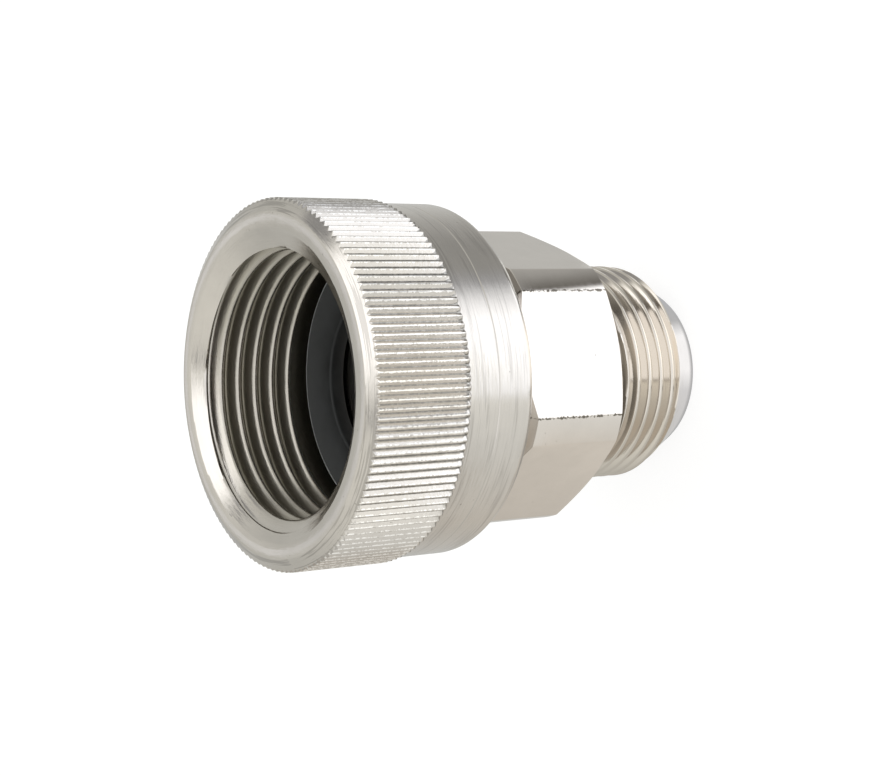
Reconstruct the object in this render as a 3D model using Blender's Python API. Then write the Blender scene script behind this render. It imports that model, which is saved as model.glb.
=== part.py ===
"""Swivel coupling: a knurled nut with an inside pipe thread turns freely on a
hexagon tail piece with an outside pipe thread.

The part stands on the end of its outside thread, with the mouth of the nut up.
The tail piece is a hexagon bar, turned down. Its spigot enters the back of the
nut, where an open wire ring in two facing grooves keeps the nut on and lets it
turn. A flat rubber washer lies on the spigot, behind the inside thread.
"""

import math

import bmesh
import bpy

# Clearances, metres
RUN_CLEARANCE = 0.00034
SEAT_CLEARANCE = 0.0003

# Pipe thread form: depth and flats as shares of the pitch
THREAD_DEPTH_RATIO = 0.6403
THREAD_FLAT_RATIO = 1.0 / 6.0

# Inside thread of the nut
NUT_THREAD_D = 0.033249
NUT_THREAD_PITCH = 0.002309
NUT_THREAD_TURN = 215.3
NUT_THREAD_LENGTH = 0.0123

# Swivel nut, from its mouth downward; steps are on the radius
NUT_LENGTH = 0.02165
COUNTERSINK_STEP = 0.00107
COUNTERSINK_ANGLE = 120.0
MOUTH_FACE_WIDTH = 0.00172
MOUTH_CHAMFER_REACH = 0.00156
MOUTH_CHAMFER_ANGLE = 28.0
KNURL_HEIGHT = 0.00048
KNURL_LENGTH = 0.0126
KNURL_RUN_OUT = 0.0003
KNURL_TEETH = 135
KNURL_TURN = 0.58
REAR_CHAMFER = 0.00048
REAR_CHAMFER_LENGTH = 0.00075
RELIEF_STEP = 0.00038
RELIEF_LENGTH = 0.0053

# Outside thread of the tail piece
TAIL_THREAD_D = 0.026441
TAIL_THREAD_PITCH = 0.0018143
TAIL_THREAD_TURN = 140.5
TAIL_THREAD_LENGTH = 0.0076

# Tail piece, from its lower end upward; steps are on the radius
NOSE_TIP_STEP = 0.0022
NOSE_LENGTH = 0.0043
LEAD_CHAMFER_REACH = 0.00102
LEAD_CHAMFER_LENGTH = 0.0009
UNDERCUT_STEP = 0.00016
UNDERCUT_LENGTH = 0.0042
HEX_FLAT_STEP = 0.0006
HEX_CORNER_STEP = 0.00157
HEX_LENGTH = 0.01425
HEX_CHAMFER_ANGLE = 30.0
SHOULDER_STEP = 0.0006
SHOULDER_LENGTH = 0.0020
SPIGOT_ENTRY = 0.00035
SPIGOT_CHAMFER = 0.0004
WATERWAY_D = 0.0170
WATERWAY_CHAMFER = 0.0002

# Retaining ring and washer
WIRE_D = 0.0016
RING_OPENING = 20.0
WASHER_ROOM = 0.0009
WASHER_HOLE_D = 0.0208
WASHER_THICKNESS = 0.0020
WASHER_EDGE = 0.0002

# Facets
ROUND_STEPS = 44
WIRE_STEPS = 36
WIRE_SIDES = 8
OVERCUT = 0.0012
SHARP_ANGLE = math.radians(24.0)
WELD = 1e-6

# Radii, worked out from the sizes above, from the threads outward and inward
NUT_THREAD_DEPTH = THREAD_DEPTH_RATIO * NUT_THREAD_PITCH
NUT_CREST_R = NUT_THREAD_D / 2 - NUT_THREAD_DEPTH
COUNTERSINK_R = NUT_THREAD_D / 2 + COUNTERSINK_STEP
MOUTH_FACE_R = COUNTERSINK_R + MOUTH_FACE_WIDTH
KNURL_TIP_R = MOUTH_FACE_R + MOUTH_CHAMFER_REACH
LAND_R = KNURL_TIP_R - KNURL_HEIGHT
RELIEF_R = NUT_THREAD_D / 2 + RELIEF_STEP
SPIGOT_R = NUT_CREST_R - SPIGOT_ENTRY
NUT_BORE_R = SPIGOT_R + RUN_CLEARANCE
SHOULDER_R = SPIGOT_R + SHOULDER_STEP
WASHER_R = RELIEF_R - WASHER_ROOM
TAIL_THREAD_DEPTH = THREAD_DEPTH_RATIO * TAIL_THREAD_PITCH
TAIL_CREST_R = TAIL_THREAD_D / 2
UNDERCUT_R = TAIL_CREST_R - TAIL_THREAD_DEPTH - UNDERCUT_STEP
NOSE_R = TAIL_CREST_R - LEAD_CHAMFER_REACH
NOSE_TIP_R = NOSE_R - NOSE_TIP_STEP
HEX_FLAT_R = SHOULDER_R + HEX_FLAT_STEP
HEX_CORNER_R = HEX_FLAT_R + HEX_CORNER_STEP

# Heights, worked out from the lengths above
NOSE_TOP = NOSE_LENGTH
THREAD_BOTTOM = NOSE_TOP + LEAD_CHAMFER_LENGTH
THREAD_TOP = THREAD_BOTTOM + TAIL_THREAD_LENGTH
HEX_BOTTOM = THREAD_TOP + UNDERCUT_LENGTH
HEX_TOP = HEX_BOTTOM + HEX_LENGTH
SHOULDER_TOP = HEX_TOP + SHOULDER_LENGTH
NUT_BOTTOM = SHOULDER_TOP + SEAT_CLEARANCE
BACK_WALL = NUT_LENGTH - NUT_THREAD_LENGTH - RELIEF_LENGTH
SPIGOT_TOP = NUT_BOTTOM + BACK_WALL + SEAT_CLEARANCE
WASHER_BOTTOM = SPIGOT_TOP + SEAT_CLEARANCE

# The ring lies half way up the nut's back wall, half way across the running fit
RING_HEIGHT = NUT_BOTTOM + BACK_WALL / 2
RING_R = SPIGOT_R + RUN_CLEARANCE / 2
GROOVE_REACH = WIRE_D / 2 + RUN_CLEARANCE


def new_material(name, colour, metallic, roughness):
    """A Principled material of one colour."""
    material = bpy.data.materials.new(name)
    material.use_nodes = True
    shader = material.node_tree.nodes["Principled BSDF"]
    shader.inputs["Base Color"].default_value = (*colour, 1.0)
    shader.inputs["Metallic"].default_value = metallic
    shader.inputs["Roughness"].default_value = roughness
    material.diffuse_color = (*colour, 1.0)
    return material


def shade_turned(mesh):
    """Smooth round faces, with every turned corner kept sharp."""
    mesh.shade_smooth()
    mesh.set_sharp_from_angle(angle=SHARP_ANGLE)


def new_object(name, bm, parent, height=0.0, material=None):
    """Turn a bmesh, faces outward, into an object at a height on the common axis."""
    bmesh.ops.recalc_face_normals(bm, faces=bm.faces)
    if bm.calc_volume(signed=True) < 0:
        bmesh.ops.reverse_faces(bm, faces=bm.faces)
    mesh = bpy.data.meshes.new(name)
    bm.to_mesh(mesh)
    bm.free()
    shade_turned(mesh)
    obj = bpy.data.objects.new(name, mesh)
    bpy.context.scene.collection.objects.link(obj)
    obj.parent = parent
    obj.location.z = height
    if material is not None:
        mesh.materials.append(material)
    return obj


def new_cutter(name, bm, parent):
    """A tool shape that only Booleans see, in the frame of the piece it cuts."""
    cutter = new_object(name, bm, parent)
    cutter.hide_render = True
    cutter.display_type = "WIRE"
    return cutter


def add_boolean(obj, tool, operation):
    """Cut or intersect a piece with a tool shape."""
    modifier = obj.modifiers.new(tool.name, "BOOLEAN")
    modifier.operation = operation
    modifier.solver = "EXACT"
    modifier.object = tool


def settle_booleans(obj):
    """Keep the cut mesh, so that its new corners are shaded sharp too."""
    depsgraph = bpy.context.evaluated_depsgraph_get()
    cut = bpy.data.meshes.new_from_object(obj.evaluated_get(depsgraph))
    cut.name = obj.name
    obj.modifiers.clear()
    obj.data = cut
    shade_turned(cut)


def chain(bm, profile, closed):
    """Edges through the (radius, height) points of a turned profile, at +X."""
    verts = [bm.verts.new((radius, 0.0, height)) for radius, height in profile]
    pairs = list(zip(verts, verts[1:]))
    if closed:
        pairs.append((verts[-1], verts[0]))
    edges = [bm.edges.new(pair) for pair in pairs]
    return verts + edges


def turned(profile, closed=True):
    """Solid of revolution: a closed profile off the axis, or one from axis to axis."""
    bm = bmesh.new()
    geom = chain(bm, profile, closed)
    bmesh.ops.spin(
        bm, geom=geom, cent=(0, 0, 0), axis=(0, 0, 1), angle=math.tau, steps=ROUND_STEPS
    )
    bmesh.ops.remove_doubles(bm, verts=bm.verts, dist=WELD)
    bmesh.ops.dissolve_degenerate(bm, edges=bm.edges, dist=WELD)
    return bm


def close_ends(bm):
    """Fill the open ends of a swept profile."""
    open_edges = [edge for edge in bm.edges if edge.is_boundary]
    bmesh.ops.holes_fill(bm, edges=open_edges, sides=0)


def thread_tool(root_r, open_r, pitch, low, high, turn):
    """Right-hand helical ridge that cuts one thread groove.

    The groove is root_r at its floor and flares with the flanks to open_r, just
    past the crests. Its middle starts at height low on the azimuth turn, in
    degrees, and climbs one pitch a turn to high.
    """
    crest_to_root = THREAD_DEPTH_RATIO * pitch
    half_floor = THREAD_FLAT_RATIO * pitch / 2
    half_mouth = pitch / 2 - half_floor
    flare = (half_mouth - half_floor) / crest_to_root
    half_open = half_floor + flare * abs(open_r - root_r)
    turns = (high - low) / pitch
    steps = round(turns * ROUND_STEPS)
    sweep = math.tau * steps / ROUND_STEPS
    profile = [
        (root_r, low - half_floor),
        (open_r, low - half_open),
        (open_r, low + half_open),
        (root_r, low + half_floor),
    ]
    bm = bmesh.new()
    geom = chain(bm, profile, closed=True)
    bmesh.ops.spin(
        bm,
        geom=geom,
        cent=(0, 0, 0),
        axis=(0, 0, 1),
        dvec=(0, 0, pitch / ROUND_STEPS),
        angle=sweep,
        steps=steps,
    )
    close_ends(bm)
    cosine = math.cos(math.radians(turn))
    sine = math.sin(math.radians(turn))
    for vert in bm.verts:
        x, y, z = vert.co
        vert.co = (x * cosine - y * sine, x * sine + y * cosine, z)
    return bm


def hexagon_bar():
    """Hexagon bar stock, longer than the tail piece, with a flat facing -Y."""
    bm = bmesh.new()
    corner_r = HEX_FLAT_R / math.cos(math.pi / 6)
    low = -OVERCUT
    high = SPIGOT_TOP + OVERCUT
    ring = []
    for corner in range(6):
        angle = math.pi / 3 * corner
        place = (corner_r * math.cos(angle), corner_r * math.sin(angle), low)
        ring.append(bm.verts.new(place))
    base = bm.faces.new(ring)
    rise = bmesh.ops.extrude_face_region(bm, geom=[base])
    raised = [item for item in rise["geom"] if isinstance(item, bmesh.types.BMVert)]
    bmesh.ops.translate(bm, verts=raised, vec=(0, 0, high - low))
    return bm


def tail_profile():
    """Turned shape of the tail piece, up its outside and down its waterway."""
    bevel = HEX_CORNER_STEP * math.tan(math.radians(HEX_CHAMFER_ANGLE))
    floor_r = RING_R - GROOVE_REACH
    way_r = WATERWAY_D / 2
    return [
        (way_r + WATERWAY_CHAMFER, 0.0),
        (NOSE_TIP_R, 0.0),
        (NOSE_R, NOSE_TOP),
        (TAIL_CREST_R, THREAD_BOTTOM),
        (TAIL_CREST_R, THREAD_TOP),
        (UNDERCUT_R, THREAD_TOP + (TAIL_CREST_R - UNDERCUT_R) / 2),
        (UNDERCUT_R, HEX_BOTTOM),
        (HEX_FLAT_R, HEX_BOTTOM),
        (HEX_CORNER_R, HEX_BOTTOM + bevel),
        (HEX_CORNER_R, HEX_TOP - bevel),
        (HEX_FLAT_R, HEX_TOP),
        (SHOULDER_R, HEX_TOP),
        (SHOULDER_R, SHOULDER_TOP),
        (SPIGOT_R, SHOULDER_TOP),
        (SPIGOT_R, RING_HEIGHT - GROOVE_REACH),
        (floor_r, RING_HEIGHT - GROOVE_REACH),
        (floor_r, RING_HEIGHT + GROOVE_REACH),
        (SPIGOT_R, RING_HEIGHT + GROOVE_REACH),
        (SPIGOT_R, SPIGOT_TOP - SPIGOT_CHAMFER),
        (SPIGOT_R - SPIGOT_CHAMFER, SPIGOT_TOP),
        (way_r + WATERWAY_CHAMFER, SPIGOT_TOP),
        (way_r, SPIGOT_TOP - WATERWAY_CHAMFER),
        (way_r, WATERWAY_CHAMFER),
    ]


def make_tail_piece(root, material):
    """Hexagon bar turned down to spigot, shoulder, undercut, thread and nose."""
    tail = new_object("tail_piece", turned(tail_profile()), root, material=material)
    bar = new_cutter("hexagon_bar", hexagon_bar(), tail)
    add_boolean(tail, bar, "INTERSECT")
    thread = thread_tool(
        root_r=TAIL_CREST_R - TAIL_THREAD_DEPTH,
        open_r=TAIL_CREST_R + TAIL_THREAD_DEPTH / 6,
        pitch=TAIL_THREAD_PITCH,
        low=NOSE_TOP - TAIL_THREAD_PITCH * 0.75,
        high=THREAD_TOP + TAIL_THREAD_PITCH,
        turn=TAIL_THREAD_TURN,
    )
    cutter = new_cutter("tail_thread_tool", thread, tail)
    add_boolean(tail, cutter, "DIFFERENCE")
    settle_booleans(tail)
    return tail


def knurled_blank():
    """Outside of the nut: rings of points, every second one on a tooth tip."""
    slope = math.tan(math.radians(MOUTH_CHAMFER_ANGLE))
    tip_top = NUT_LENGTH - (KNURL_TIP_R - MOUTH_FACE_R) * slope
    root_top = NUT_LENGTH - (LAND_R - MOUTH_FACE_R) * slope
    foot = NUT_LENGTH - KNURL_LENGTH
    rings = [
        (LAND_R - REAR_CHAMFER, 0.0, LAND_R - REAR_CHAMFER, 0.0),
        (LAND_R, REAR_CHAMFER_LENGTH, LAND_R, REAR_CHAMFER_LENGTH),
        (LAND_R, foot - KNURL_RUN_OUT, LAND_R, foot - KNURL_RUN_OUT),
        (KNURL_TIP_R, foot, LAND_R, foot),
        (KNURL_TIP_R, tip_top, LAND_R, root_top),
        (MOUTH_FACE_R, NUT_LENGTH, MOUTH_FACE_R, NUT_LENGTH),
    ]
    count = 2 * KNURL_TEETH
    bm = bmesh.new()
    loops = []
    for tip, tip_height, root, root_height in rings:
        loop = []
        for index in range(count):
            angle = math.tau * index / count + math.radians(KNURL_TURN)
            radius = root if index % 2 else tip
            height = root_height if index % 2 else tip_height
            place = (radius * math.cos(angle), radius * math.sin(angle), height)
            loop.append(bm.verts.new(place))
        loops.append(loop)
    for lower, upper in zip(loops, loops[1:]):
        for index in range(count):
            after = (index + 1) % count
            bm.faces.new((lower[index], lower[after], upper[after], upper[index]))
    bm.faces.new(loops[0])
    bm.faces.new(loops[-1])
    return bm


def nut_bore():
    """Everything turned out of the nut, from axis to axis, mouth end first."""
    slope = math.tan(math.radians(COUNTERSINK_ANGLE / 2))
    sink_depth = (COUNTERSINK_R - NUT_CREST_R) / slope
    thread_foot = NUT_LENGTH - NUT_THREAD_LENGTH
    groove_r = RING_R + GROOVE_REACH
    groove_height = BACK_WALL / 2
    profile = [
        (0.0, NUT_LENGTH + OVERCUT),
        (COUNTERSINK_R + OVERCUT * slope, NUT_LENGTH + OVERCUT),
        (COUNTERSINK_R, NUT_LENGTH),
        (NUT_CREST_R, NUT_LENGTH - sink_depth),
        (NUT_CREST_R, thread_foot),
        (RELIEF_R, thread_foot),
        (RELIEF_R, BACK_WALL),
        (NUT_BORE_R, BACK_WALL),
        (NUT_BORE_R, groove_height + GROOVE_REACH),
        (groove_r, groove_height + GROOVE_REACH),
        (groove_r, groove_height - GROOVE_REACH),
        (NUT_BORE_R, groove_height - GROOVE_REACH),
        (NUT_BORE_R, -OVERCUT),
        (0.0, -OVERCUT),
    ]
    return turned(profile, closed=False)


def make_swivel_nut(root, material):
    """Knurled nut: mouth with countersink and thread, relief, ring groove, bore."""
    nut = new_object("swivel_nut", knurled_blank(), root, NUT_BOTTOM, material)
    bore = new_cutter("nut_bore_tool", nut_bore(), nut)
    add_boolean(nut, bore, "DIFFERENCE")
    thread = thread_tool(
        root_r=NUT_THREAD_D / 2,
        open_r=NUT_CREST_R - NUT_THREAD_DEPTH / 6,
        pitch=NUT_THREAD_PITCH,
        low=NUT_LENGTH - NUT_THREAD_LENGTH - NUT_THREAD_PITCH,
        high=NUT_LENGTH + NUT_THREAD_PITCH * 0.6,
        turn=NUT_THREAD_TURN,
    )
    cutter = new_cutter("nut_thread_tool", thread, nut)
    add_boolean(nut, cutter, "DIFFERENCE")
    settle_booleans(nut)
    return nut


def make_retaining_ring(root, material):
    """Open ring of round wire, half in the spigot's groove, half in the nut's."""
    bm = bmesh.new()
    profile = []
    for side in range(WIRE_SIDES):
        angle = math.tau * side / WIRE_SIDES
        reach = WIRE_D / 2
        profile.append((RING_R + reach * math.cos(angle), reach * math.sin(angle)))
    geom = chain(bm, profile, closed=True)
    sweep = math.radians(360.0 - RING_OPENING)
    bmesh.ops.spin(
        bm, geom=geom, cent=(0, 0, 0), axis=(0, 0, 1), angle=sweep, steps=WIRE_STEPS
    )
    close_ends(bm)
    return new_object("retaining_ring", bm, root, RING_HEIGHT, material)


def make_washer(root, material):
    """Flat rubber washer with softened edges."""
    outer = WASHER_R
    inner = WASHER_HOLE_D / 2
    edge = WASHER_EDGE
    top = WASHER_THICKNESS
    profile = [
        (inner + edge, 0.0),
        (outer - edge, 0.0),
        (outer, edge),
        (outer, top - edge),
        (outer - edge, top),
        (inner + edge, top),
        (inner, top - edge),
        (inner, edge),
    ]
    return new_object("sealing_washer", turned(profile), root, WASHER_BOTTOM, material)


def main():
    for obj in list(bpy.data.objects):
        bpy.data.objects.remove(obj, do_unlink=True)
    root = bpy.data.objects.new("coupling_axis", None)
    bpy.context.scene.collection.objects.link(root)
    nickel_nut = new_material("nickel_nut", (0.50, 0.47, 0.43), 1.0, 0.20)
    nickel_tail = new_material("nickel_tail", (0.52, 0.49, 0.45), 1.0, 0.16)
    spring_wire = new_material("spring_wire", (0.42, 0.42, 0.43), 1.0, 0.28)
    black_rubber = new_material("black_rubber", (0.022, 0.022, 0.023), 0.0, 0.55)
    make_tail_piece(root, nickel_tail)
    make_swivel_nut(root, nickel_nut)
    make_retaining_ring(root, spring_wire)
    make_washer(root, black_rubber)


main()
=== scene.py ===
"""Swivel coupling in nickel-plated brass: its fine surfaces, finishes, studio and camera."""

import math

import bmesh
import bpy
import numpy as np
from mathutils import Euler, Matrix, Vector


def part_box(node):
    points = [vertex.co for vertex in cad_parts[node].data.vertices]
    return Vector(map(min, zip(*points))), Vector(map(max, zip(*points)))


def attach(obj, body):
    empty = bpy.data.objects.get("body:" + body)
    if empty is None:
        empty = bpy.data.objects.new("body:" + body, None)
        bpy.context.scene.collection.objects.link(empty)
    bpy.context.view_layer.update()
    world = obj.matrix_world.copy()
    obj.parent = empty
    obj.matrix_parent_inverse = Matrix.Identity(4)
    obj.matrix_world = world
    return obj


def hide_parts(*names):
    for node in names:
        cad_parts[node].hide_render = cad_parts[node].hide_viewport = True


bl_info = {
    "name": "Swivel Coupling",
    "version": (1, 0, 0),
    "blender": (4, 5, 0),
    "location": "3D View > Sidebar > Coupling",
    "description": "Builds a nickel-plated swivel coupling, its finishes and its studio",
    "category": "Add Mesh",
}

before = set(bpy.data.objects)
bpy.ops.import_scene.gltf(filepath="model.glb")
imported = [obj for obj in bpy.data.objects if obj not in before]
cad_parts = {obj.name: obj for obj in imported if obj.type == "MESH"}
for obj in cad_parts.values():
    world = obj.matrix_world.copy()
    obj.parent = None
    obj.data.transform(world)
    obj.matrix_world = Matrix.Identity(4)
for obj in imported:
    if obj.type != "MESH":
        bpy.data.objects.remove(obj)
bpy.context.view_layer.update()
NUT_LOW, NUT_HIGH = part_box("swivel_nut")
TAIL_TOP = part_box("tail_piece")[1][2]
WASHER_LOW, WASHER_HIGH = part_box("sealing_washer")
RING_LOW, RING_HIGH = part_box("retaining_ring")

TAU = math.tau
MM = 0.001

# Pipe thread form: half the flank angle, then depth and round in shares of the pitch
HALF_ANGLE = math.radians(27.5)
FULL_DEPTH, ROUND = 0.640327, 0.137329

# How softly a thread runs out, and the slope of the nut's countersink
RUN_OUT = 0.05 * MM
SINK_SLOPE = math.tan(math.radians(60.0))

# Rows of points that the two threads have for each pitch
NUT_ROWS, TAIL_ROWS = 16, 20

# Rows of points along the knurl, and columns for each tooth
KNURL_ROWS, TOOTH_COLUMNS = 26, 6

# A tooth: half its flat tip as a share, slope of its flanks, levels of valley and tip
TIP_SHARE, FLANK_SLOPE, VALLEY_LEVEL, TIP_LEVEL = 0.06, 2.26, 0.14, 0.93

# Turned line on the plain band, and round edge of the nut's back: mm along, mm inward
LINE_PROFILE = ((-0.16, 0.0), (-0.08, 0.0), (0.0, 0.07), (0.08, 0.0), (0.16, 0.0))
EDGE_PROFILE = (
    (1.0, 0.0), (0.9, 0.0), (0.73, 0.03), (0.53, 0.12), (0.15, 0.36), (0.05, 0.45), (0.0, 0.56),
)

# Distances at which points are welded and slivers are dissolved
WELD, SLIVER = 1e-7, 1e-8

# Strength of the tool marks on the nut: plain band, mouth chamfer, all the rest
BAND_MARKS, CHAMFER_MARKS, FAINT_MARKS = 0.8, 6.0, 0.08

# Painted highlight on the washer's rim: how far in from its edge, and how wide
RIM_INSET, RIM_WIDTH = 0.27 * MM, 0.09 * MM

# Kinds of socket in the node groups
FLOAT, COLOR = "NodeSocketFloat", "NodeSocketColor"

# Plating's dark pits, and the painted highlight on the washer's rim
PIT_SHADE = (0.12, 0.11, 0.09)
RIM_HIGHLIGHT = (0.90, 0.92, 0.92)

# Shares of the plating's colour in its dark clouds and in its tool marks
CLOUD_SHARE, STREAK_SHARE = 0.94, 0.72

# Lowest and highest share of the plating's roughness, and how soft ragged edges are
ROUGH_LOW, ROUGH_HIGH, MASK_EDGE = 0.55, 1.45, 0.3

# Heights of the fine relief in plating and in rubber
PLATING_RELIEF, RUBBER_RELIEF = 0.004 * MM, 0.01 * MM

# Direction from which the azimuths of the cards are counted, clockwise, in degrees
CARD_START = 81.0

# The three papers of which the cards are made
COOL, PLAIN, WARM = (0.98, 1.0, 1.04), (1.0, 1.0, 0.97), (1.05, 1.0, 0.92)

# Cards on the floor, ring by ring: the ring's soft inner edge in mm, then azimuth in
# degrees, brightness and paper; a white card lies in front and greys fill the rest
RING_CARDS = (
    ((0, 0), (
        (0, 0.4, PLAIN), (90, 0.4, PLAIN), (150, 0.55, COOL), (190, 0.55, COOL),
        (270, 0.4, PLAIN),
    )),
    ((10.05, 10.5), (
        (0, 0.4, PLAIN), (95, 0.4, PLAIN), (115, 0.5, COOL), (142, 0.6, COOL),
        (155, 1.25, COOL), (180, 1.25, COOL), (195, 0.85, COOL), (250, 0.6, PLAIN),
        (270, 0.45, WARM),
    )),
    ((12.6, 13.4), (
        (0, 0.5, PLAIN), (60, 0.6, PLAIN), (75, 1.4, PLAIN), (90, 0.45, PLAIN),
        (103, 1.4, PLAIN), (110, 0.4, PLAIN), (130, 0.2, WARM), (140, 1.2, WARM),
        (150, 1.55, WARM), (170, 1.5, WARM), (190, 0.9, WARM), (193, 0.25, WARM),
        (196, 0.65, WARM), (235, 0.45, WARM), (300, 0.45, PLAIN),
    )),
    ((24.5, 26.5), (
        (0, 0.6, PLAIN), (95, 0.6, PLAIN), (110, 0.42, PLAIN), (122, 0.15, WARM),
        (125, 1.65, COOL), (187, 1.65, COOL), (189, 0.35, WARM), (191, 1.2, PLAIN),
        (210, 0.9, PLAIN), (230, 0.75, WARM), (255, 0.75, WARM), (285, 0.6, WARM),
        (320, 0.6, PLAIN),
    )),
    ((52, 54.5), (
        (0, 0.65, PLAIN), (55, 0.65, PLAIN), (95, 0.4, PLAIN), (115, 0.4, PLAIN),
        (125, 0.5, COOL), (135, 1.2, COOL), (147, 1.85, COOL), (170, 1.85, COOL),
        (188, 1.45, COOL), (192, 1.0, PLAIN), (220, 0.9, PLAIN), (270, 0.7, WARM),
        (320, 0.6, PLAIN),
    )),
    ((74, 78), (
        (0, 0.7, PLAIN), (55, 0.6, PLAIN), (95, 0.45, PLAIN), (115, 0.45, PLAIN),
        (125, 0.6, COOL), (136, 1.35, COOL), (147, 1.6, COOL), (160, 1.6, COOL),
        (174, 1.3, PLAIN), (190, 1.25, PLAIN), (200, 1.0, PLAIN), (215, 0.85, PLAIN),
        (235, 0.62, WARM), (320, 0.6, PLAIN),
    )),
)

# Cards overhead: azimuth, elevation, inner and outer reach in degrees, brightness
SKY_CARDS = (
    (180, 42, 25, 50, 1.15),
    (68, 70, 14, 26, 1.74),
    (263, 79.5, 2.0, 4.2, 0.34),
    (54, 37, 6, 12, 0.36),
    (359, 34, 3.0, 6.0, 0.94),
    (0, 27.5, 2.0, 4.5, 0.80),
)

# The surround from horizon to zenith, and the sines between which it changes
HORIZON, ZENITH = (0.62, 0.62, 0.59), (0.90, 0.89, 0.84)
SKY_RISE = (0.33, 0.9)

# The floor: grey of its paper, light added for the camera, half width and height
FLOOR_PAPER, FLOOR_GLOW = 0.30, 0.80
FLOOR_REACH, FLOOR_LEVEL = 6.0, -0.02 * MM


def length(name, text, default):
    """A size property in metres."""
    return bpy.props.FloatProperty(
        name=name, description=text, default=default, min=0.0, precision=5,
        subtype="DISTANCE", unit="LENGTH",
    )


def tone(name, text, default):
    """A colour property."""
    return bpy.props.FloatVectorProperty(
        name=name, description=text, default=default, size=3, min=0.0, max=1.0,
        subtype="COLOR",
    )


def amount(name, text, default, top=100.0):
    """A plain number property."""
    return bpy.props.FloatProperty(
        name=name, description=text, default=default, min=0.0, max=top, precision=4
    )


def turn(name, text, default):
    """An angle property in radians, given in degrees."""
    return bpy.props.FloatProperty(
        name=name, description=text, default=math.radians(default), subtype="ANGLE",
        unit="ROTATION",
    )


class CouplingNutSizes(bpy.types.PropertyGroup):
    """Sizes of the knurled nut; depths are measured down from its mouth."""

    thread_d: length("Thread Diameter", "Major diameter of the inside thread", 33.249 * MM)
    pitch: length("Thread Pitch", "Pitch of the inside thread", 2.309 * MM)
    phase: turn("Thread Turn", "Where the inside thread starts", -20.0)
    sink_d: length("Countersink Diameter", "Countersink at the mouth", 35.389 * MM)
    face_d: length("Mouth Face Diameter", "Outer diameter of the flat mouth face", 38.829 * MM)
    chamfer: turn("Mouth Chamfer", "Slope of the chamfer into the knurl", 29.5)
    thread_depth: length("Thread Depth", "How far down the thread reaches", 12.3 * MM)
    relief_d: length("Relief Diameter", "Turned relief behind the thread", 34.009 * MM)
    back_wall: length("Back Wall", "Thickness of the nut's back wall", 4.05 * MM)
    bore_d: length("Back Bore", "Bore that runs round the spigot", 30.272 * MM)
    groove_d: length("Ring Groove Diameter", "Floor of the ring groove", 32.212 * MM)
    groove_w: length("Ring Groove Width", "Width of the ring groove", 2.28 * MM)
    land_d: length("Land Diameter", "Plain turned band behind the knurl", 40.989 * MM)
    knurl_height: length("Knurl Height", "Height of the teeth over the land", 0.48 * MM)
    knurl_depth: length("Knurl Length", "How far down the knurl reaches", 12.6 * MM)
    teeth: bpy.props.IntProperty(
        name="Knurl Teeth", description="Straight teeth round the nut", default=135, min=12
    )
    knurl_turn: turn("Knurl Turn", "Azimuth of the first tooth", 0.58)
    knurl_wear: length("Knurl Wear", "How uneven the rolled teeth are", 0.005 * MM)
    line: length("Band Line", "Depth of the fine turned line on the plain band", 16.8 * MM)


class CouplingTailSizes(bpy.types.PropertyGroup):
    """Sizes of the hexagon tail piece; heights are measured up from its end."""

    thread_d: length("Thread Diameter", "Major diameter of the outside thread", 26.441 * MM)
    pitch: length("Thread Pitch", "Pitch of the outside thread", 1.8143 * MM)
    phase: turn("Thread Turn", "Where the outside thread starts", -82.7)
    tip_d: length("Nose Tip Diameter", "Lower end of the coned nose", 20.0 * MM)
    nose_d: length("Nose Diameter", "Upper end of the coned nose", 24.4 * MM)
    nose: length("Nose Length", "Length of the coned nose", 4.3 * MM)
    lead: length("Lead Chamfer", "Chamfer between nose and thread", 0.9 * MM)
    thread: length("Thread Length", "Length of the full thread", 7.6 * MM)
    undercut_d: length("Undercut Diameter", "Neck between thread and hexagon", 23.798 * MM)
    undercut: length("Undercut Length", "Length of the neck", 4.2 * MM)
    flats: length("Across Flats", "Hexagon across its flats", 31.992 * MM)
    corner_d: length("Corner Diameter", "Hexagon corners, turned down", 35.132 * MM)
    hexagon: length("Hexagon Length", "Length of the hexagon", 14.25 * MM)
    shoulder_d: length("Shoulder Diameter", "Round shoulder behind the nut", 30.792 * MM)
    shoulder: length("Shoulder Length", "Length of the shoulder", 2.0 * MM)
    spigot_d: length("Spigot Diameter", "Spigot inside the nut", 29.592 * MM)
    groove_d: length("Ring Groove Diameter", "Floor of the ring groove", 27.652 * MM)
    groove_w: length("Ring Groove Width", "Width of the ring groove", 2.28 * MM)
    waterway_d: length("Waterway Diameter", "Bore right through", 17.0 * MM)


class CouplingSmallSizes(bpy.types.PropertyGroup):
    """Sizes of the washer and the wire ring that their boxes don't give."""

    washer_hole: length("Washer Hole", "Hole in the rubber washer", 20.8 * MM)
    ring_opening: turn("Ring Opening", "Angle left open in the wire ring", 20.0)


class CouplingFinish(bpy.types.PropertyGroup):
    """Colours of the plating, the wire and the rubber."""

    nickel: tone("Nut Nickel", "Colour of the nut's nickel plating", (0.66, 0.63, 0.59))
    bright: tone("Tail Nickel", "Colour of the tail piece's nickel plating", (0.74, 0.70, 0.655))
    wire: tone("Wire", "Colour of the spring wire", (0.62, 0.61, 0.60))
    rubber: tone("Rubber", "Colour of the rubber washer", (0.023, 0.0245, 0.0248))
    roughness: amount("Plating Roughness", "Roughness of the plating", 0.16, 1.0)


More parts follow.
